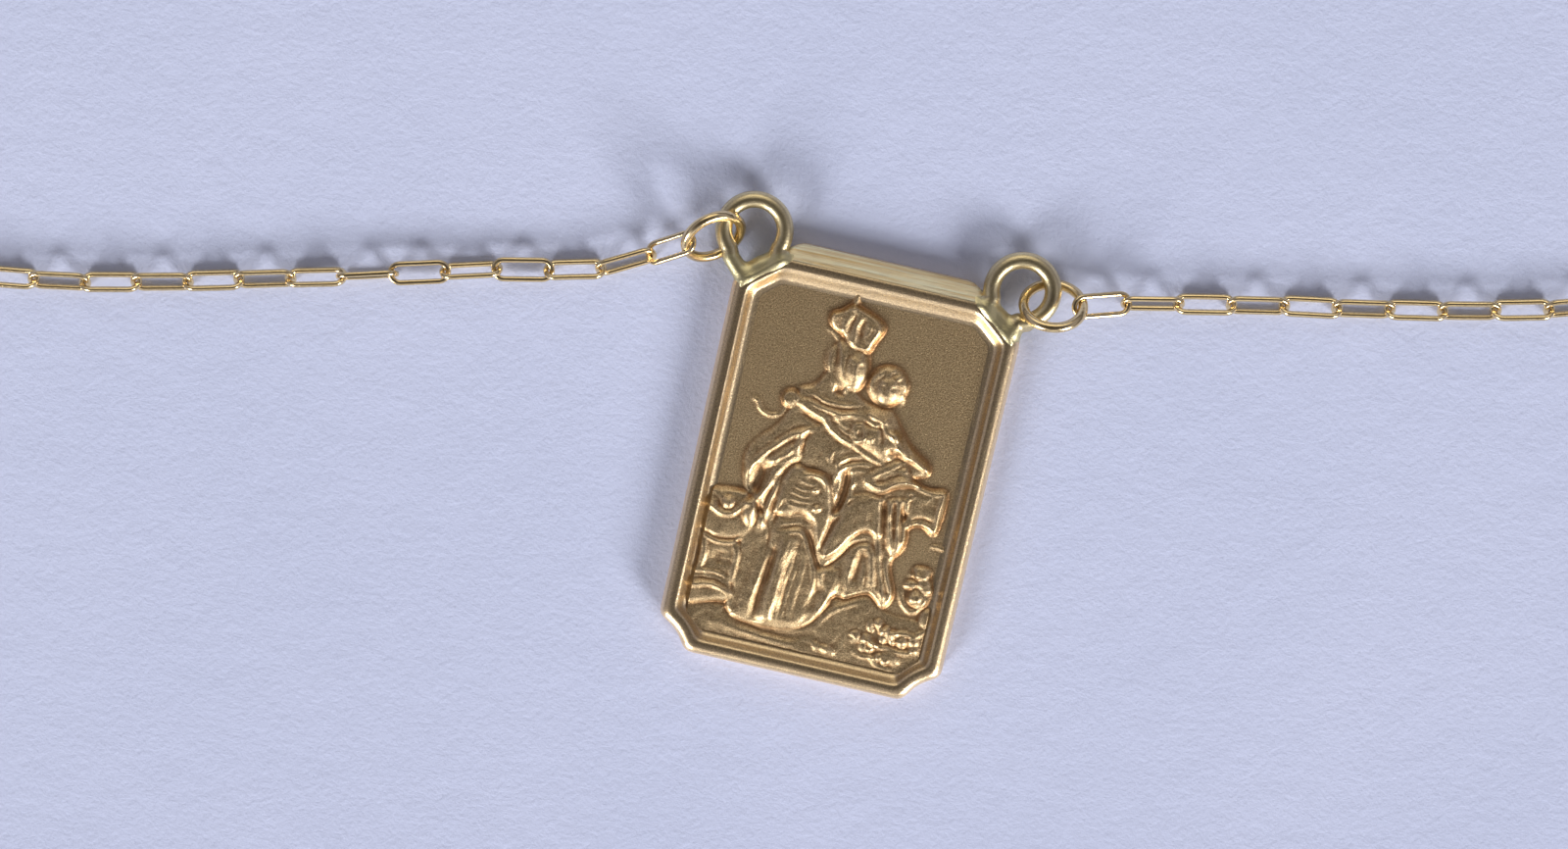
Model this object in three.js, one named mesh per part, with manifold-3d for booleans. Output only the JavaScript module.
import * as THREE from "three";
import { mergeVertices } from "three/addons/utils/BufferGeometryUtils.js";
import Module from "manifold-3d";

// A cast gold medal held by two jump rings in the middle of a fine cable chain, lying on a table.
// Lengths are in millimetres and angles in degrees. X is the medal's right, Y its upper side and Z
// its front. The origin is the middle of the medal's flat back.

// The plaque: its front outline, its walls and the filed slope along its upper edge
const FACE_WIDTH = 14;
const FACE_HEIGHT = 20.4;
const THICKNESS = 1.5;
const WALL_DRAFT = 0.4;
const BEVEL_REACH = 0.97;
const TOP_CORNER = { width: 1.9, height: 1.55 };
const BOTTOM_NOTCH = { width: 1.5, height: 1.45, sagitta: 0.2, steps: 4 };

// The raised rim and the sunken field
const RIM_LAND = 0.32;
const RIM_WIDTH = 1.06;
const RIM_ROUNDING = 0.07;
const FIELD_DEPTH = 0.5;
const FIELD_FLOOR = 0.2;
const RELIEF_HEIGHT = 0.5;
const RELIEF_TUCK = 0.13;
const RELIEF_SPACING = 0.26;

// The two soldered loops and the jump rings through them
const LOOP_RADIUS = 1.545;
const LOOP_WIRE = 0.86;
const LOOP_SIDE_INSET = 0.1;
const LOOP_RISE = 1.1;
// Solder lumps: places are shares of the loop's outer radius, other sizes shares of its wire
const SOLDER_LUMPS = {
  inner: { aside: -0.7, above: -0.42, behind: 0.1, length: 1.15, turn: 32 },
  outer: { aside: 0.22, above: -0.94, behind: 0.15, length: 0.98, turn: -52 },
};
const SOLDER_THICKNESS = 0.52;
const JUMP_RADIUS = 1.49;
const JUMP_WIRE = 0.52;
const JUMP_PLACES = {
  left: { aside: -1.93, above: -0.74, lift: 0.36, turn: 43.3, tilt: 50.8, hold: 150, side: -1 },
  right: { aside: 1.65, above: -0.35, lift: 0.33, turn: 9.8, tilt: -48.8, hold: 0, side: 1 },
};

// The chain: links, their play, and the way it lies
const LINK_PITCH = 2.64;
const LINK_WIDTH = 1.28;
const LINK_WIRE = 0.27;
const LINK_PLAY = 0.05;
const FLOOR_GAP = 0.01;
const CHAIN_TURN = 12.5;
const CHAIN_ROLLS = {
  left: [-24, 52, -48, 14, -60, 12, 78, -50, 45, -45, 45, -45, 45, -45],
  right: [4, 58, -45, 45, -45, 45, -45, 45, -45, 45],
};
const CHAIN_ROUTE = {
  left: [[-12, 10.5], [-17, 10.45], [-22, 10.2], [-27, 9.95], [-44, 10], [-62, 14.5], [-79, 28], [-92, 53],
    [-96, 87], [-89, 125], [-71, 155], [-47, 175], [-24, 184.5], [-2.8, 187]],
  right: [[14.4, 8.9], [20, 8.85], [38, 8.95], [56, 13], [73, 27], [86, 53], [90.4, 87], [83.4, 125],
    [65.4, 155], [41.4, 175], [18.4, 184.5], [-2.8, 187]],
};
const HIDDEN_DIAMETER = 1.1;
const HIDDEN_STEPS = 40;
const MEETING_GAP = 0.3;

// How many sides the round pieces have
const SIDES = { loop: [10, 28], jump: [8, 20], link: [6, 12], hidden: 8, solder: [12, 8] };

// Wall profile: shares of the thickness, the side draft and the bevel's reach
const WALL_PROFILE = [
  { rise: 0, side: 0.85, top: 0.94 },
  { rise: 0.3, side: 0.95, top: 1 },
  { rise: 0.6, side: 1, top: 1 },
  { rise: 0.9, side: 0.6, top: 0.25 },
  { rise: 1, side: 0, top: 0 },
];

// Relief. Places are hundredths of the face's half width and half height, edges and widths are
// hundredths of its half width, and heights are hundredths of the relief's height.
const MASSES = {
  figures: { height: 36, edge: 4.5, outline: [[-26, 49], [-31, 42], [-41, 39], [-46, 28], [-53, 19],
    [-63, 12], [-69, 4], [-69, -5], [-62, -19], [-50, -24], [-44, -33], [-40, -45], [-45, -62],
    [-56, -80], [-34, -82], [-12, -81], [1, -77], [10, -69], [15, -60], [24, -58], [40, -54], [52, -60],
    [58, -52], [51, -38], [57, -26], [58, -18], [66, -15], [78, -18], [80, 4], [66, 4], [53, 7], [64, 11],
    [60, 17], [48, 22], [36, 31], [27, 38], [10, 39], [0, 43], [-6, 50], [-20, 52]] },
  chest: { height: 52, edge: 9, outline: [[-40, 37], [-24, 38], [-8, 37], [6, 38], [16, 36], [20, 28],
    [14, 16], [2, 18], [-12, 24], [-24, 28], [-40, 33]] },
  belly: { height: 50, edge: 12, outline: [[-30, 21], [-20, 24], [-10, 21], [2, 17], [8, 8], [4, -4],
    [-6, -4], [-20, 0], [-32, 0], [-34, 10]] },
  sleeve: { height: 62, edge: 7, outline: [[-27, 22], [-34, 20], [-44, 14.5], [-56, 6], [-65, -3],
    [-67, -8], [-63, -8], [-56, -2], [-46, -2], [-36, 2], [-30, 8]] },
  leftKnee: { height: 78, edge: 5, outline: [[-33, 2], [-22, 1], [-10, 1], [-3, -4], [2, -18], [1, -30],
    [-3, -38], [-9, -30], [-13, -24], [-22, -22], [-32, -25], [-41, -24], [-42, -10]] },
  rightKnee: { height: 74, edge: 5, outline: [[6, -20], [11, -11], [20, -6.5], [34, -5], [38, -12],
    [41, -24], [36, -26], [29, -23.5], [20, -28], [12, -37], [3, -42], [-1, -36], [2, -28]] },
  robe: { height: 58, edge: 7, outline: [[-38, -28], [-24, -25], [-13, -27], [-7, -35], [1, -44],
    [12, -44], [18, -46], [14, -59], [8, -69], [-4, -78], [-18, -81], [-36, -81], [-56, -80], [-49, -69],
    [-44, -57], [-41, -43]] },
  rightDrape: { height: 58, edge: 10, outline: [[20, -32], [30, -26], [38, -29], [44, -42], [49, -49],
    [57, -52], [52, -60], [42, -54], [32, -56], [22, -59], [18, -46]] },
  childBody: { height: 84, edge: 12, outline: [[10, 37], [26, 37], [34, 31], [44, 24], [56, 18.5],
    [63, 15], [62, 11], [52, 13], [42, 15], [30, 12], [20, 13.5], [11, 16], [3, 20], [8, 30]] },
  childLeg: { height: 78, edge: 7, outline: [[18, 1], [26, 4], [34, 8], [46, 13], [53, 8], [60, 4.5],
    [50, 2], [42, 0], [34, -3], [26, -3]] },
  panel: { height: 44, edge: 2.5, outline: [[56, 0], [66, 1], [79, 4], [78, -17], [67, -13], [58, -17],
    [55, -9]] },
  hangingCloth: { height: 58, edge: 6, outline: [[37, -6], [46, -2], [56, -3], [56, -14], [58, -22],
    [56, -30], [50, -34], [45, -29], [41, -18]] },
  crown: { height: 62, edge: 6, outline: [[-31, 79.5], [-24, 82], [-17, 86], [-8, 84.5], [2, 82],
    [8.5, 79], [9, 75.5], [6, 71.5], [3.5, 68], [1.5, 64], [-10, 63], [-16, 66], [-20, 70], [-26, 71.5],
    [-31, 75]] },
  cushion: { height: 60, edge: 9, outline: [[-92, -21], [-82, -19], [-68, -17.5], [-60, -18], [-52, -26],
    [-50, -34], [-56, -41], [-66, -44], [-76, -45], [-92, -42]] },
  throneSide: { height: 40, edge: 3, outline: [[-92, -44], [-57, -44], [-55, -64], [-72, -62],
    [-92, -65]] },
  throneBack: { height: 44, edge: 4, outline: [[-59, -27], [-51, -25], [-40, -33], [-38, -46], [-40, -63],
    [-50, -79], [-60, -76], [-59, -60], [-60, -44]] },
  throneBase: { height: 56, edge: 6, outline: [[-93, -64], [-80, -61], [-68, -61], [-58, -65], [-54, -70],
    [-60, -74], [-72, -76], [-93, -80]] },
  ground: { height: 30, edge: 14, outline: [[-92, -76], [-62, -76], [-56, -79], [-12, -80], [4, -74],
    [14, -62], [24, -60], [40, -56], [54, -61], [66, -62], [92, -64], [92, -80], [82, -91], [70, -94],
    [-72, -94], [-92, -84]] },
};

// Rounded forms: heads, hands, balls and small figures. A negative height is a hollow.
const DOMES = [
  { x: -11.5, y: 56, width: 15, height: 13, lean: 8, rise: 58 },
  { x: -5.5, y: 54.5, width: 9, height: 11.5, lean: 4, rise: 92 },
  { x: 20, y: 50, width: 14.3, height: 10.2, lean: 0, rise: 62 },
  { x: 20.5, y: 48, width: 10, height: 8.2, lean: 0, rise: 96 },
  { x: -46, y: 33, width: 6, height: 4.6, lean: 0, rise: 56 },
  { x: 7, y: 24, width: 5.2, height: 4.2, lean: 0, rise: 84 },
  { x: 16.5, y: 22.5, width: 5, height: 3.2, lean: -15, rise: 100 },
  { x: 32, y: 26, width: 7, height: 4, lean: -30, rise: 100 },
  { x: -14, y: -8.5, width: 4.4, height: 2.4, lean: 40, rise: 102 },
  { x: -10.5, y: -17.5, width: 5.6, height: 2.6, lean: 20, rise: 104 },
  { x: -74, y: -24.5, width: 6.6, height: 4.4, lean: 0, rise: 88 },
  { x: -57.5, y: -27, width: 6.6, height: 8.4, lean: 8, rise: 98 },
  { x: 75, y: -37, width: 7, height: 2.4, lean: 0, rise: 40 },
  { x: 69.5, y: -45, width: 6, height: 2.4, lean: 15, rise: 36 },
  { x: 76, y: -51, width: 7.5, height: 5, lean: 0, rise: 52 },
  { x: 75.5, y: -52, width: 3.6, height: 2.6, lean: 0, rise: 68 },
  { x: 47, y: -70, width: 3.4, height: 4.6, lean: 10, rise: 52 },
  { x: 37, y: -75.5, width: 5.5, height: 2.4, lean: 15, rise: 54 },
  { x: 62, y: -73, width: 5, height: 3, lean: -25, rise: 58 },
  { x: 72, y: -75, width: 4.6, height: 4, lean: 0, rise: 60 },
  { x: 80, y: -73, width: 5, height: 3.6, lean: 30, rise: 52 },
  { x: 45, y: -81, width: 4.6, height: 3.6, lean: 0, rise: 50 },
  { x: 66, y: -84, width: 10, height: 4, lean: -10, rise: 58 },
  { x: 19, y: -86.5, width: 8, height: 3, lean: -8, rise: 58 },
  { x: 86, y: -61, width: 6, height: 6, lean: 0, rise: 40 },
];

// Folds, edges and cords added on top, each a height, a half width and a line. A negative height is a
// groove.
const FOLDS = [
  [30, 3, [[-16, 84], [-15.5, 90], [-15.5, 96]]],
  [12, 2.6, [[-30, 79], [-23, 81], [-16, 84], [-7, 82.5], [2, 80]]],
  [-16, 5, [[-26, 78], [-25, 75], [-23, 73]]],
  [14, 3, [[-20.5, 70], [-20.5, 75], [-17.5, 81]]],
  [-10, 2.4, [[-16, 69], [-15.5, 75], [-13, 81]]],
  [14, 3, [[-11.5, 67], [-12, 74], [-10.5, 81]]],
  [-16, 4, [[-6.5, 69], [-7.5, 75], [-5, 80]]],
  [22, 4.4, [[0.5, 66], [2, 70.5], [4.5, 75], [2, 79]]],
  [12, 2.8, [[-4, 71], [-1.5, 75.5], [-4.5, 79]]],
  [8, 2.2, [[-16, 68.5], [-9, 66.5], [-2, 66], [2, 67]]],
  [14, 2.2, [[-32, 71.5], [-26, 70], [-21, 66], [-18, 61], [-17, 54]]],
  [12, 3.4, [[-25.5, 64], [-26.5, 57], [-24.5, 50]]],
  [-16, 3.6, [[-21, 66], [-20.5, 58], [-19.5, 51]]],
  [12, 2.8, [[-15.5, 65], [-15.5, 58], [-13.5, 51], [-10, 46]]],
  [12, 2, [[-12, 62], [-8, 65], [-3, 65.5], [1, 63], [3, 57], [2, 51]]],
  [10, 1.5, [[-5.6, 58.5], [-5.2, 55], [-4.8, 52.5]]],
  [8, 1.6, [[-6.3, 52.2], [-4.8, 51.8], [-3.4, 52.2]]],
  [-9, 2, [[-10.5, 56.8], [-8.6, 56.6], [-7.2, 56.8]]],
  [-9, 2, [[-3.6, 56.8], [-2.2, 56.6], [-0.6, 56.8]]],
  [6, 1.5, [[-11, 58.9], [-8.8, 59.6], [-6.8, 59]]],
  [6, 1.5, [[-4.2, 59], [-2.4, 59.6], [-0.4, 58.9]]],
  [6, 2.2, [[-6, 45.6], [-4.9, 45.3], [-3.8, 45.6]]],
  [15, 2.2, [[-20, 48], [-18.5, 45], [-18, 42]]],
  [15, 2.2, [[-7, 46], [-9, 43.5], [-11, 41]]],
  [-32, 5.4, [[-17, 43], [-13, 42], [-9.5, 43]]],
  [15, 2.6, [[-26, 48], [-29, 43.5], [-35, 41], [-44, 38.5]]],
  [15, 2.4, [[-31, 38.5], [-23, 36.5], [-12, 36], [-4, 36.5], [3, 38]]],
  [-12, 2.2, [[-31, 36], [-22, 34], [-11, 33.5], [0, 34.5]]],
  [12, 2.4, [[-34, 35], [-24, 32.5], [-12, 31.5], [-2, 32]]],
  [-10, 2.2, [[-34, 32.5], [-24, 30.5], [-14, 29.5]]],
  [15, 3.6, [[-12, 29], [-6, 31], [0, 32.5], [4, 32]]],
  [22, 2.4, [[-50, 30], [-51.5, 34], [-48, 37], [-43, 36], [-41, 32]]],
  [20, 2.4, [[-73, 29.5], [-69, 28.5], [-66, 25], [-60, 23], [-54, 23.5], [-50, 25], [-48.5, 29]]],
  [32, 4.8, [[-40, 33.5], [-30, 30.5], [-19, 28]]],
  [28, 3.8, [[-20, 28.5], [-16, 25.5], [-10, 22], [-3, 19.5], [5, 18]]],
  [22, 3.1, [[3, 18.5], [12, 15.5], [21, 13], [30, 11.5]]],
  [-15, 3.1, [[-36, 28], [-28, 25.5], [-20, 24.5]]],
  [12, 2.4, [[-13, 26], [-6, 24], [0, 22]]],
  [10, 1.9, [[-10, 28], [-4, 26], [1, 25]]],
  [-18, 6, [[-48, 25], [-54, 19], [-62, 12], [-66, 5]]],
  [22, 3.4, [[-22, 21.5], [-30, 20], [-40, 16], [-50, 9], [-58, 3], [-64, -3], [-66, -8]]],
  [-20, 4.1, [[-28, 17], [-38, 13], [-48, 7], [-56, 0]]],
  [20, 3.6, [[-33, 18], [-33.5, 12], [-32, 6], [-37, 3], [-43, -1]]],
  [15, 2.9, [[-37, 11], [-40, 6], [-46, 3], [-50, -1]]],
  [28, 4.8, [[-42, -1], [-46, -5], [-47, -11]]],
  [28, 4.1, [[-48, -11], [-52, -15], [-57, -20], [-62, -23]]],
  [-42, 8.4, [[-55, -2], [-56, -9], [-58, -16]]],
  [12, 2.2, [[-51, -4], [-52, -9], [-55, -14]]],
  [15, 2.2, [[-41, -6], [-43, -14], [-46, -24], [-48, -32]]],
  [12, 2.2, [[-50, -18], [-49, -25], [-50, -31]]],
  [-15, 3.1, [[-38, -6], [-40, -14], [-42, -24]]],
  [28, 5, [[-48, -6], [-50, -13], [-53, -20], [-56, -26]]],
  [24, 4, [[-43, -9], [-44, -18], [-46, -27], [-48, -34]]],
  [12, 2.4, [[-8, 13], [-9.5, 9], [-8, 6]]],
  [12, 2.2, [[-4, 6], [0, 9], [6, 11.5], [12, 12.5]]],
  [12, 2.2, [[-1, 3], [6, 7], [13, 9], [20, 9.5]]],
  [-12, 2.4, [[0, 6.5], [7, 9.5], [14, 10.8]]],
  [12, 2.2, [[6, 3], [12, 5.5], [19, 6]]],
  [15, 2.4, [[-3, 7], [-1, 3], [-3, -3], [1, -9]]],
  [-60, 4.2, [[5.5, 4], [6, -3], [5.5, -10], [4, -18]]],
  [25, 3.6, [[10, -8], [8.5, -13], [5, -18], [1, -20.5]]],
  [18, 2.6, [[12, 0], [10, -4], [11, -8]]],
  [20, 2.9, [[-24, -2.5], [-20, -1], [-13, -1.5], [-8, -3.5], [-5, -7]]],
  [11, 1.9, [[-26, -5], [-20, -6], [-14, -5.5]]],
  [11, 1.9, [[-30, -8.5], [-23, -9.5], [-17, -9]]],
  [11, 1.9, [[-31, -11.5], [-24, -12.5], [-17, -12.5]]],
  [11, 1.9, [[-31, -14.5], [-24, -15.5], [-15, -15]]],
  [11, 1.9, [[-32, -18], [-26, -18.5], [-18, -18.5]]],
  [-18, 2.9, [[-34, -17], [-37, -23], [-39, -30]]],
  [20, 2.2, [[2.5, 24], [4, 27.5], [8, 28.4], [11.5, 25.5], [11, 21.5], [6.5, 19.8], [3, 21.5],
    [2.5, 24]]],
  [-30, 3.6, [[6, 24], [8, 24]]],
  [22, 3.6, [[27, 28], [33, 26], [38, 22], [44, 17.5]]],
  [-32, 4.8, [[31, 19], [36, 17], [41, 16.5]]],
  [18, 2.9, [[44, 16.5], [50, 17], [57, 14.5], [62, 12]]],
  [-18, 3.1, [[20, 31], [24, 26], [25, 21]]],
  [15, 2.4, [[14, 35], [20, 33], [27, 32]]],
  [-15, 1.9, [[10, 30], [16, 28.5], [22, 29]]],
  [-12, 1.9, [[11, 33], [16, 31.5], [22, 32]]],
  [14, 2.8, [[8, 46], [8, 51], [11.5, 55], [11, 57]]],
  [14, 2.8, [[12.5, 53.5], [14.5, 57], [18, 58.6]]],
  [14, 2.8, [[18, 54.6], [20.5, 57.8], [24, 58.6]]],
  [14, 2.8, [[24.5, 54], [28, 56], [29, 57]]],
  [14, 2.8, [[29.5, 52], [32.5, 52.6], [34, 49]]],
  [12, 2.6, [[31, 48], [33, 45], [31, 42]]],
  [-8, 1.8, [[15.6, 49.6], [17.2, 49.4], [18.8, 49.6]]],
  [-8, 1.8, [[22.8, 49.6], [24.4, 49.4], [26, 49.6]]],
  [28, 5.3, [[18, 1], [25, 5], [33, 9], [42, 13.5]]],
  [-20, 3.6, [[26, 1], [34, 4], [43, 8], [50, 8]]],
  [18, 2.6, [[20, -1], [28, -3], [35, -1], [42, 3.5], [51, 5], [60, 3.5], [70, 2.5], [79, 4]]],
  [20, 3.1, [[11, -9.5], [18, -7], [26, -5.5], [35, -6]]],
  [-18, 2.9, [[36, -8], [38.5, -15], [39, -22]]],
  [25, 3.6, [[41, -6], [42, -14], [46, -24], [48, -29]]],
  [-22, 2.6, [[44, -6], [46, -14], [49, -24]]],
  [25, 3.4, [[47, -5], [49, -14], [52, -24], [54, -31]]],
  [-20, 2.4, [[50.5, -5], [52, -16], [54, -24]]],
  [18, 2.9, [[54, -16], [56, -22], [57, -29]]],
  [-40, 2.6, [[53, -10], [53, -14]]],
  [15, 1.7, [[51.5, -1], [54, 0.8], [56.5, -1], [54, -2.8], [51.5, -1]]],
  [20, 2.6, [[78, 3], [76.5, -4], [76.5, -12], [77.5, -17]]],
  [18, 2.2, [[56, -17.5], [61, -15], [68, -14], [73, -15], [77, -18]]],
  [-15, 2.4, [[58, -13], [66, -11], [73, -12]]],
  [10, 2.8, [[-38, -30], [-33, -26], [-26, -23], [-18, -22], [-12, -25], [-6, -33], [1, -40], [7, -38],
    [13, -33], [19, -27], [25, -23.5], [32, -22.5], [37, -26]]],
  [-22, 2.8, [[-36, -32], [-25, -29], [-17, -28.5], [-11, -33], [-5, -41], [1, -47], [8, -44], [15, -38],
    [21, -32], [27, -29.5], [33, -29], [38, -33]]],
  [18, 3, [[36, -24], [40, -31], [43, -39], [47, -48], [52, -56]]],
  [14, 2.2, [[-28, -33], [-20, -31], [-13, -34], [-7, -42]]],
  [34, 9, [[-25, -34], [-28, -50], [-29, -66], [-30, -79]]],
  [18, 5.4, [[-27, -36], [-29, -50], [-29, -66], [-30, -79]]],
  [11, 2.4, [[-20, -33], [-23, -48], [-26, -64], [-27, -79]]],
  [11, 2.6, [[-18, -32], [-19.5, -48], [-22, -62], [-22, -79]]],
  [9, 1.9, [[-15, -33], [-15.5, -46], [-17, -60], [-19, -79]]],
  [11, 3.6, [[-12, -35], [-11, -50], [-13, -66], [-13, -78]]],
  [8, 1.7, [[-25, -44], [-25.5, -56], [-24, -70]]],
  [-28, 4.8, [[-34, -42], [-36, -55], [-38, -68], [-39, -79]]],
  [15, 6, [[-39, -48], [-44, -62], [-50, -76]]],
  [15, 2.6, [[-9, -38], [-4, -46], [-1, -54], [-2, -62]]],
  [20, 3.6, [[6, -44], [3, -49], [5, -56]]],
  [-15, 6, [[4, -52], [3, -62], [-2, -71]]],
  [22, 4.8, [[16, -48], [14, -55], [11, -63], [6, -70]]],
  [18, 2.4, [[-56, -79], [-44, -80.5], [-32, -81], [-18, -80.5], [-7, -79], [1, -75], [8, -68],
    [13, -60]]],
  [18, 6, [[22, -36], [21, -44], [20, -54]]],
  [-32, 6, [[30, -32], [29, -40], [28, -50]]],
  [20, 4.3, [[36, -31], [39, -40], [42, -50]]],
  [-12, 2.4, [[33, -36], [35, -44], [36, -51]]],
  [20, 2.4, [[21, -59], [28, -56.5], [36, -54], [41, -53], [46, -55.5], [52, -60]]],
  [20, 3.1, [[47, -36], [51, -44], [56, -52], [54, -59]]],
  [18, 2.9, [[-90, -20], [-80, -18.5], [-70, -18], [-62, -19]]],
  [25, 3.4, [[-92, -26], [-84, -28], [-77, -30], [-70, -29.5], [-65, -26], [-60, -21.5]]],
  [-15, 3.6, [[-88, -22], [-82, -24], [-79, -28]]],
  [18, 2.2, [[-92, -41.5], [-82, -44], [-74, -45], [-66, -44], [-59, -41]]],
  [-15, 1.9, [[-92, -39.5], [-82, -42], [-74, -43], [-66, -42], [-60, -39.5]]],
  [-15, 8.4, [[-72, -49], [-72, -56]]],
  [22, 3.4, [[-86, -45], [-83.5, -50], [-83.5, -56], [-85, -61]]],
  [22, 3.6, [[-62, -45], [-59.5, -50], [-59.5, -57], [-60, -65]]],
  [18, 2.4, [[-92, -62.5], [-82, -61], [-74, -60.5], [-66, -61.5], [-60, -65]]],
  [20, 2.6, [[-92, -71], [-84, -68.5], [-76, -67], [-66, -67.5], [-56, -70.5]]],
  [-15, 2.4, [[-90, -66], [-80, -64.5], [-70, -64.5], [-62, -67]]],
  [15, 2.4, [[77, -24], [82, -23.5], [89, -25]]],
  [22, 3.1, [[62, -49], [66, -55], [73, -58.5], [80, -55], [85, -47]]],
  [15, 2.4, [[66, -40.5], [73, -40], [80, -41]]],
  [18, 2.9, [[50, -67], [56, -71], [64, -71], [72, -70], [80, -70], [88, -66]]],
  [18, 2.6, [[34, -79], [40, -78.5], [48, -77.5], [56, -79.5], [64, -79], [74, -80], [84, -78]]],
  [15, 2.6, [[38, -84], [44, -86], [52, -86], [58, -89], [68, -90]]],
  [-18, 3.6, [[54, -75], [66, -77.5], [78, -77]]],
  [12, 4.8, [[-70, -84], [-48, -86], [-20, -88], [6, -90]]],
  [-15, 4.8, [[-50, -83], [-30, -84.5], [-8, -84], [10, -80]]],
  [15, 3.6, [[8, -76], [14, -69], [22, -64], [34, -60]]],
];

const wasm = await Module();
wasm.setup();

const castGold = new THREE.MeshStandardMaterial({ color: 0xa98d5f, roughness: 0.42, metalness: 1 });
const wireGold = new THREE.MeshStandardMaterial({ color: 0xc9ac78, roughness: 0.24, metalness: 1 });

const HALF_WIDTH = FACE_WIDTH / 2;
const HALF_HEIGHT = FACE_HEIGHT / 2;
const FIELD_LEVEL = THICKNESS - FIELD_DEPTH;
const LOOP_LEVEL = THICKNESS - LOOP_WIRE / 2;
const radians = THREE.MathUtils.degToRad;

function toSolid(geometry) {
  const bare = geometry.clone();
  bare.deleteAttribute("normal");
  bare.deleteAttribute("uv");
  const merged = mergeVertices(bare, 1e-5);
  return new wasm.Manifold(new wasm.Mesh({
    numProp: 3,
    vertProperties: new Float32Array(merged.attributes.position.array),
    triVerts: new Uint32Array(merged.index.array),
  }));
}

function toGeometry(solid) {
  const mesh = solid.getMesh();
  const geometry = new THREE.BufferGeometry();
  geometry.setAttribute("position", new THREE.BufferAttribute(mesh.vertProperties, 3));
  geometry.setIndex(new THREE.BufferAttribute(mesh.triVerts, 1));
  geometry.computeVertexNormals();
  return geometry;
}

// A closed body through outlines that all have as many points, from the lowest level up
function loft(levels) {
  const count = levels[0].points.length;
  const positions = levels.flatMap(({ points, z }) => points.flatMap((point) => [point.x, point.y, z]));
  const faces = [];
  for (let level = 1; level < levels.length; level += 1) {
    for (let i = 0; i < count; i += 1) {
      const low = (level - 1) * count + i;
      const lowNext = (level - 1) * count + ((i + 1) % count);
      faces.push(low, lowNext, lowNext + count, low, lowNext + count, low + count);
    }
  }
  const top = (levels.length - 1) * count;
  for (const [a, b, c] of THREE.ShapeUtils.triangulateShape(levels[0].points, [])) {
    faces.push(a, c, b);
    faces.push(top + a, top + b, top + c);
  }
  const geometry = new THREE.BufferGeometry();
  geometry.setAttribute("position", new THREE.Float32BufferAttribute(positions, 3));
  geometry.setIndex(faces);
  return geometry;
}

// A hollow corner of the front outline, from one end of its arc to the other
function notchPoints(start, end) {
  const { sagitta, steps } = BOTTOM_NOTCH;
  const across = end.clone().sub(start);
  const inward = new THREE.Vector2(-across.y, across.x).normalize();
  const points = [];
  for (let i = 0; i <= steps; i += 1) {
    const share = i / steps;
    const depth = sagitta * 4 * share * (1 - share);
    points.push(start.clone().addScaledVector(across, share).addScaledVector(inward, depth));
  }
  return points;
}

// The front outline, counter-clockwise from its lower left corner
function faceOutline() {
  const point = (x, y) => new THREE.Vector2(x, y);
  const notchSide = HALF_WIDTH - BOTTOM_NOTCH.width;
  const notchTop = BOTTOM_NOTCH.height - HALF_HEIGHT;
  return [
    ...notchPoints(point(-HALF_WIDTH, notchTop), point(-notchSide, -HALF_HEIGHT)),
    ...notchPoints(point(notchSide, -HALF_HEIGHT), point(HALF_WIDTH, notchTop)),
    point(HALF_WIDTH, HALF_HEIGHT - TOP_CORNER.height),
    point(HALF_WIDTH - TOP_CORNER.width, HALF_HEIGHT),
    point(TOP_CORNER.width - HALF_WIDTH, HALF_HEIGHT),
    point(-HALF_WIDTH, HALF_HEIGHT - TOP_CORNER.height),
  ];
}

// The front outline moved outward by reach, and by topReach along its upper edge
function movedOutline(reach, topReach = reach) {
  const points = faceOutline();
  const sideOf = (from, to) => {
    const along = to.clone().sub(from).normalize();
    const isTop = Math.abs(along.y) < 1e-6 && from.y > 0;
    return { normal: new THREE.Vector2(along.y, -along.x), reach: isTop ? topReach : reach };
  };
  return points.map((point, i) => {
    const before = sideOf(points[(i + points.length - 1) % points.length], point);
    const after = sideOf(point, points[(i + 1) % points.length]);
    const cross = before.normal.x * after.normal.y - before.normal.y * after.normal.x;
    const x = (before.reach * after.normal.y - after.reach * before.normal.y) / cross;
    const y = (before.normal.x * after.reach - after.normal.x * before.reach) / cross;
    return new THREE.Vector2(point.x + x, point.y + y);
  });
}

function distanceToSegment(x, y, [startX, startY], [endX, endY]) {
  const alongX = endX - startX;
  const alongY = endY - startY;
  const share = ((x - startX) * alongX + (y - startY) * alongY) / (alongX ** 2 + alongY ** 2);
  const held = Math.min(Math.max(share, 0), 1);
  return Math.hypot(x - startX - held * alongX, y - startY - held * alongY);
}

function distanceToLine(x, y, line) {
  let nearest = Infinity;
  for (let i = 1; i < line.length; i += 1) {
    nearest = Math.min(nearest, distanceToSegment(x, y, line[i - 1], line[i]));
  }
  return nearest;
}

function isInside(x, y, outline) {
  let inside = false;
  outline.forEach(([endX, endY], i) => {
    const [startX, startY] = outline[(i + outline.length - 1) % outline.length];
    const crossing = startX + ((endX - startX) * (y - startY)) / (endY - startY);
    if (startY > y !== endY > y && x < crossing) inside = !inside;
  });
  return inside;
}

const placed = (line) => line.map(([x, y]) => [(x / 100) * HALF_WIDTH, (y / 100) * HALF_HEIGHT]);
const sized = (share) => (share / 100) * HALF_WIDTH;

const placedMasses = Object.values(MASSES).map(({ height, edge, outline }) => {
  const border = placed(outline);
  return { height, edge: sized(edge), border, closedBorder: [...border, border[0]] };
});
const placedFolds = FOLDS.map(([height, width, line]) => {
  return { height, width: sized(width), line: placed(line) };
});

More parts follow.
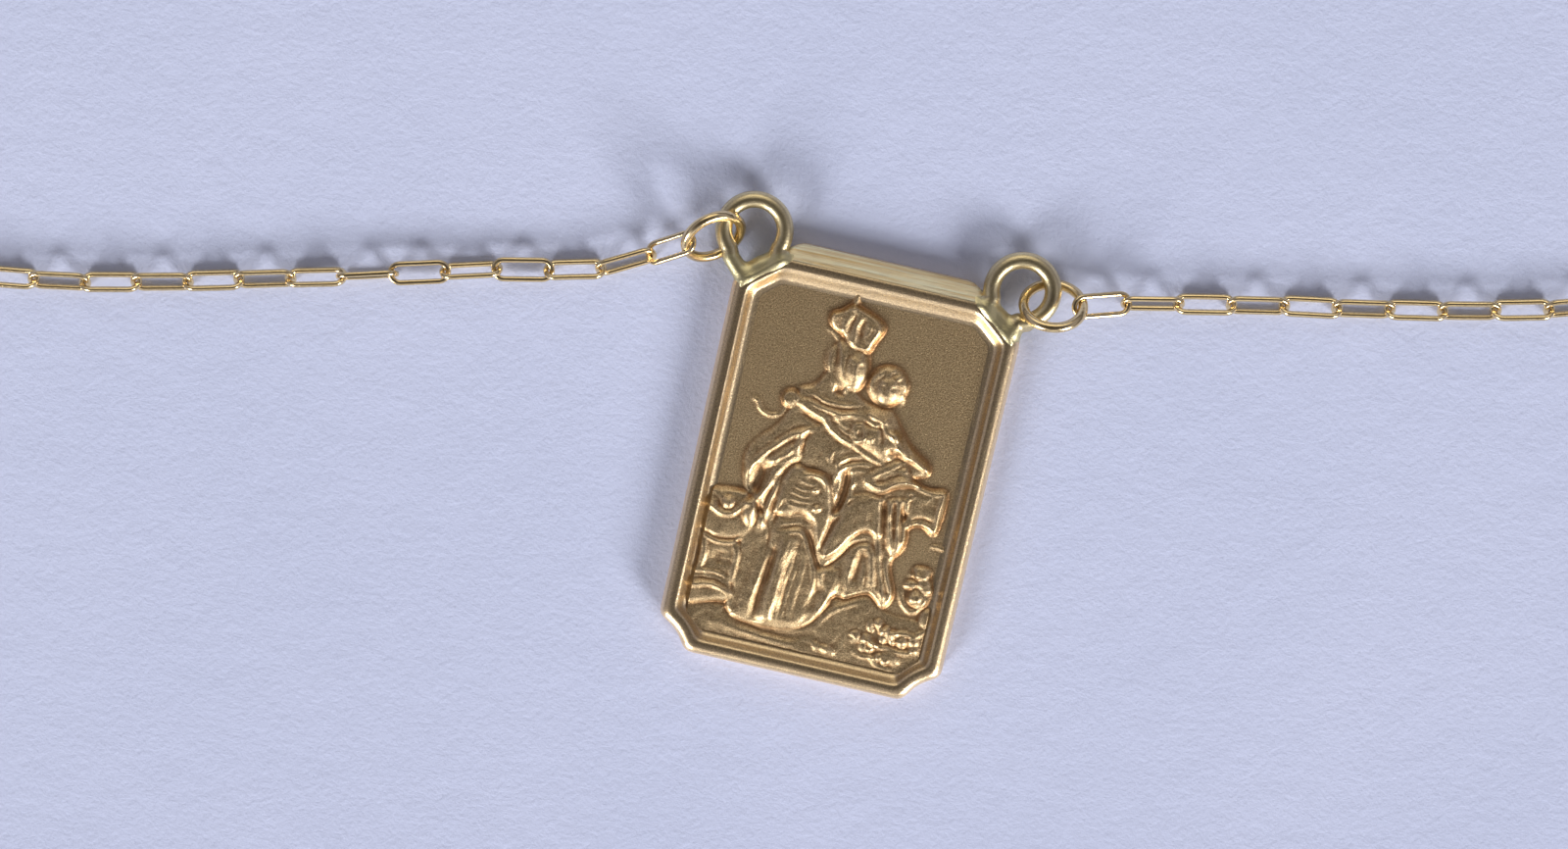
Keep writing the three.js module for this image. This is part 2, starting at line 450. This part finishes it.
function massHeight({ height, edge, border, closedBorder }, x, y) {
  if (!isInside(x, y, border)) return 0;
  const share = Math.min(distanceToLine(x, y, closedBorder) / edge, 1);
  return height * Math.sqrt(1 - (1 - share) ** 2);
}

function domeHeight(dome, x, y) {
  const lean = radians(dome.lean);
  const offX = x - (dome.x / 100) * HALF_WIDTH;
  const offY = y - (dome.y / 100) * HALF_HEIGHT;
  const alongX = (offX * Math.cos(lean) + offY * Math.sin(lean)) / sized(dome.width);
  const alongY = (offY * Math.cos(lean) - offX * Math.sin(lean)) / ((dome.height / 100) * HALF_HEIGHT);
  const rest = 1 - alongX ** 2 - alongY ** 2;
  return rest > 0 ? dome.rise * Math.sqrt(rest) : 0;
}

function foldHeight({ height, width, line }, x, y) {
  const share = distanceToLine(x, y, line) / width;
  return share < 1 ? height * (1 - share ** 2) ** 2 : 0;
}

// Height of the relief above the field at one place
function reliefAt(x, y) {
  let height = 0;
  for (const mass of placedMasses) height = Math.max(height, massHeight(mass, x, y));
  for (const dome of DOMES) height = Math.max(height, domeHeight(dome, x, y));
  for (const fold of placedFolds) height += foldHeight(fold, x, y);
  return (Math.min(Math.max(height, 0), 112) / 100) * RELIEF_HEIGHT;
}

// The relief as a closed block that reaches down into the plaque
function reliefBlock() {
  const halfX = HALF_WIDTH - RIM_WIDTH + RELIEF_TUCK;
  const halfY = HALF_HEIGHT - RIM_WIDTH + RELIEF_TUCK;
  const columns = Math.round((2 * halfX) / RELIEF_SPACING);
  const rows = Math.round((2 * halfY) / RELIEF_SPACING);
  const sheet = new THREE.PlaneGeometry(2 * halfX, 2 * halfY, columns, rows);
  const place = sheet.attributes.position;
  for (let i = 0; i < place.count; i += 1) {
    place.setZ(i, FIELD_LEVEL + reliefAt(place.getX(i), place.getY(i)));
  }
  const row = columns + 1;
  const border = [];
  for (let i = 0; i < columns; i += 1) border.push(rows * row + i);
  for (let j = rows; j > 0; j -= 1) border.push(j * row + columns);
  for (let i = columns; i > 0; i -= 1) border.push(i);
  for (let j = 0; j < rows; j += 1) border.push(j * row);
  const positions = [...place.array];
  const faces = [...sheet.index.array];
  const low = FIELD_LEVEL - FIELD_FLOOR * 1.5;
  const centre = place.count + border.length;
  border.forEach((top) => positions.push(place.getX(top), place.getY(top), low));
  positions.push(0, 0, low);
  border.forEach((top, i) => {
    const next = (i + 1) % border.length;
    faces.push(top, place.count + i, place.count + next, top, place.count + next, border[next]);
    faces.push(centre, place.count + next, place.count + i);
  });
  const block = new THREE.BufferGeometry();
  block.setAttribute("position", new THREE.Float32BufferAttribute(positions, 3));
  block.setIndex(faces);
  return block;
}

function plaqueSolid() {
  const walls = WALL_PROFILE.map(({ rise, side, top }) => (
    { z: rise * THICKNESS, points: movedOutline(side * WALL_DRAFT, top * BEVEL_REACH) }
  ));
  const pocket = [
    { z: FIELD_LEVEL - FIELD_FLOOR, points: movedOutline(-RIM_WIDTH) },
    { z: FIELD_LEVEL, points: movedOutline(-RIM_WIDTH) },
    { z: FIELD_LEVEL + RIM_ROUNDING, points: movedOutline(RIM_ROUNDING - RIM_WIDTH) },
    { z: THICKNESS - RIM_ROUNDING / 2, points: movedOutline(-RIM_LAND - RIM_ROUNDING) },
    { z: THICKNESS, points: movedOutline(-RIM_LAND) },
    { z: THICKNESS + FIELD_DEPTH, points: movedOutline(-RIM_LAND) },
  ];
  const trim = [FIELD_LEVEL - FIELD_DEPTH, THICKNESS + FIELD_DEPTH].map((z) => (
    { z, points: movedOutline(RELIEF_TUCK * 1.2 - RIM_WIDTH) }
  ));
  const relief = toSolid(reliefBlock()).intersect(toSolid(loft(trim)));
  return toSolid(loft(walls)).subtract(toSolid(loft(pocket))).add(relief);
}

function loopCentre(side) {
  return new THREE.Vector3(side * (HALF_WIDTH - LOOP_SIDE_INSET), HALF_HEIGHT + LOOP_RISE, LOOP_LEVEL);
}

function roundLoop(side) {
  const loop = new THREE.TorusGeometry(LOOP_RADIUS, LOOP_WIRE / 2, ...SIDES.loop);
  return toSolid(loop.translate(...loopCentre(side).toArray()));
}

// A lump of solder with half sizes across, up and out of the face, turned in the face's plane
function solderLump(centre, [across, up, out], turn) {
  const lump = new THREE.SphereGeometry(1, ...SIDES.solder).scale(across, up, out).rotateZ(radians(turn));
  return toSolid(lump.translate(centre.x, centre.y, centre.z));
}

// Solder joins each loop to the bevel on one side and to the corner's wall on the other
function solderLumps(side) {
  const loop = loopCentre(side);
  const reach = LOOP_RADIUS + LOOP_WIRE / 2;
  const thin = LOOP_WIRE * SOLDER_THICKNESS;
  return Object.values(SOLDER_LUMPS).map(({ aside, above, behind, length, turn }) => {
    const offset = new THREE.Vector3(side * aside * reach, above * reach, -behind * LOOP_WIRE);
    return solderLump(offset.add(loop), [length * LOOP_WIRE, thin, thin], side * turn);
  });
}

function medal() {
  let solid = plaqueSolid();
  for (const side of [-1, 1]) {
    solid = solid.add(roundLoop(side));
    for (const lump of solderLumps(side)) solid = solid.add(lump);
  }
  const mesh = new THREE.Mesh(toGeometry(solid), castGold);
  mesh.name = "medal";
  return mesh;
}

// A jump ring's frame: its centre, and its level and rising directions
function jumpFrame(name) {
  const place = JUMP_PLACES[name];
  const centre = loopCentre(place.side).add(new THREE.Vector3(place.aside, place.above, place.lift));
  const level = new THREE.Vector3(Math.cos(radians(place.turn)), Math.sin(radians(place.turn)), 0);
  const rising = new THREE.Vector3(-level.y, level.x, 0).multiplyScalar(Math.cos(radians(place.tilt)));
  rising.z = Math.sin(radians(place.tilt));
  return { centre, level, rising, hold: radians(place.hold), side: place.side };
}

function jumpRing(name) {
  const { centre, level, rising } = jumpFrame(name);
  const ring = new THREE.Mesh(new THREE.TorusGeometry(JUMP_RADIUS, JUMP_WIRE / 2, ...SIDES.jump), wireGold);
  const normal = new THREE.Vector3().crossVectors(level, rising);
  ring.setRotationFromMatrix(new THREE.Matrix4().makeBasis(level, rising, normal));
  ring.position.copy(centre);
  ring.name = `jump_ring_${name}`;
  return ring;
}

// A link is a round ring whose two halves are moved apart along X
function linkGeometry() {
  const [sides, arcs] = SIDES.link;
  const radius = (LINK_WIDTH - LINK_WIRE) / 2;
  const straight = LINK_PITCH + LINK_WIRE + LINK_PLAY - 2 * radius;
  const link = new THREE.TorusGeometry(radius / Math.cos(Math.PI / arcs), LINK_WIRE / 2, sides, arcs);
  link.rotateZ(Math.PI / arcs);
  const place = link.attributes.position;
  for (let i = 0; i < place.count; i += 1) {
    place.setX(i, place.getX(i) + (Math.sign(place.getX(i)) * straight) / 2);
  }
  return link;
}

// How far a rolled link reaches below its middle
function halfDepth(roll) {
  return ((LINK_WIDTH - LINK_WIRE) / 2) * Math.abs(Math.sin(radians(roll))) + LINK_WIRE / 2;
}

// Where the chain's first link hangs in its jump ring
function firstJoint(name) {
  const { centre, level, rising, hold } = jumpFrame(name);
  const touch = level.clone().multiplyScalar(Math.cos(hold)).addScaledVector(rising, Math.sin(hold));
  return centre.clone().addScaledVector(touch, JUMP_RADIUS - JUMP_WIRE / 2 - LINK_PLAY / 2);
}

function chainCurve(name) {
  const turn = radians(CHAIN_TURN);
  const points = CHAIN_ROUTE[name].map(([along, across]) => new THREE.Vector3(
    along * Math.cos(turn) - across * Math.sin(turn),
    along * Math.sin(turn) + across * Math.cos(turn),
    0,
  ));
  const first = firstJoint(name);
  return new THREE.CatmullRomCurve3([new THREE.Vector3(first.x, first.y, 0), ...points]);
}

// The joints between the links that show, one pitch apart, and where along the curve the last one is
function chainJoints(name) {
  const curve = chainCurve(name);
  const rolls = CHAIN_ROLLS[name];
  const joints = [firstJoint(name)];
  const length = curve.getLength();
  let share = 0;
  rolls.forEach((roll, i) => {
    const depth = Math.max(halfDepth(roll), halfDepth(rolls[i + 1] ?? roll)) + FLOOR_GAP;
    const last = joints[i];
    let low = share;
    let high = share + (2 * LINK_PITCH) / length;
    while (high - low > 1e-9) {
      const middle = (low + high) / 2;
      const point = curve.getPointAt(middle).setZ(depth);
      if (point.distanceTo(last) < LINK_PITCH) low = middle;
      else high = middle;
    }
    share = low;
    joints.push(curve.getPointAt(share).setZ(depth));
  });
  return { curve, length, joints, share };
}

function chainLinks(name, joints) {
  const geometry = linkGeometry();
  const side = JUMP_PLACES[name].side;
  return CHAIN_ROLLS[name].map((roll, i) => {
    const along = joints[i + 1].clone().sub(joints[i]).normalize();
    const across = new THREE.Vector3(-along.y, along.x, 0).normalize().multiplyScalar(side);
    const up = new THREE.Vector3().crossVectors(along, across).multiplyScalar(side);
    const tilt = radians(roll);
    const wide = across.multiplyScalar(Math.cos(tilt)).addScaledVector(up, Math.sin(tilt));
    const link = new THREE.Mesh(geometry, wireGold);
    const normal = new THREE.Vector3().crossVectors(along, wide);
    link.setRotationFromMatrix(new THREE.Matrix4().makeBasis(along, wide, normal));
    link.position.addVectors(joints[i], joints[i + 1]).multiplyScalar(0.5);
    link.name = `chain_link_${name}_${String(i + 1).padStart(2, "0")}`;
    return link;
  });
}

// The stretch out of view, as a tube of the chain's outer size from the last link to the meeting point
function hiddenStretch(name, { curve, length, share }) {
  const start = share + (1.5 * LINK_WIRE + LINK_PLAY + MEETING_GAP) / length;
  const end = 1 - MEETING_GAP / 2 / length;
  const points = [];
  for (let i = 0; i <= HIDDEN_STEPS; i += 1) {
    points.push(curve.getPointAt(start + ((end - start) * i) / HIDDEN_STEPS));
  }
  const section = new THREE.Shape();
  for (let i = 0; i < SIDES.hidden; i += 1) {
    const angle = ((i + 0.5) / SIDES.hidden) * 2 * Math.PI;
    const radius = HIDDEN_DIAMETER / 2 / Math.cos(Math.PI / SIDES.hidden);
    const corner = [radius * Math.cos(angle), radius * Math.sin(angle)];
    if (i === 0) section.moveTo(...corner);
    else section.lineTo(...corner);
  }
  const extrudePath = new THREE.CatmullRomCurve3(points);
  const tube = new THREE.ExtrudeGeometry(section, { steps: HIDDEN_STEPS, bevelEnabled: false, extrudePath });
  const mesh = new THREE.Mesh(tube, wireGold);
  mesh.position.z = HIDDEN_DIAMETER / 2 + FLOOR_GAP;
  mesh.name = `chain_hidden_${name}`;
  return mesh;
}

const pendant = new THREE.Group();
pendant.add(medal());
for (const name of ["left", "right"]) {
  const chain = chainJoints(name);
  pendant.add(jumpRing(name), ...chainLinks(name, chain.joints), hiddenStretch(name, chain));
}

export default pendant;
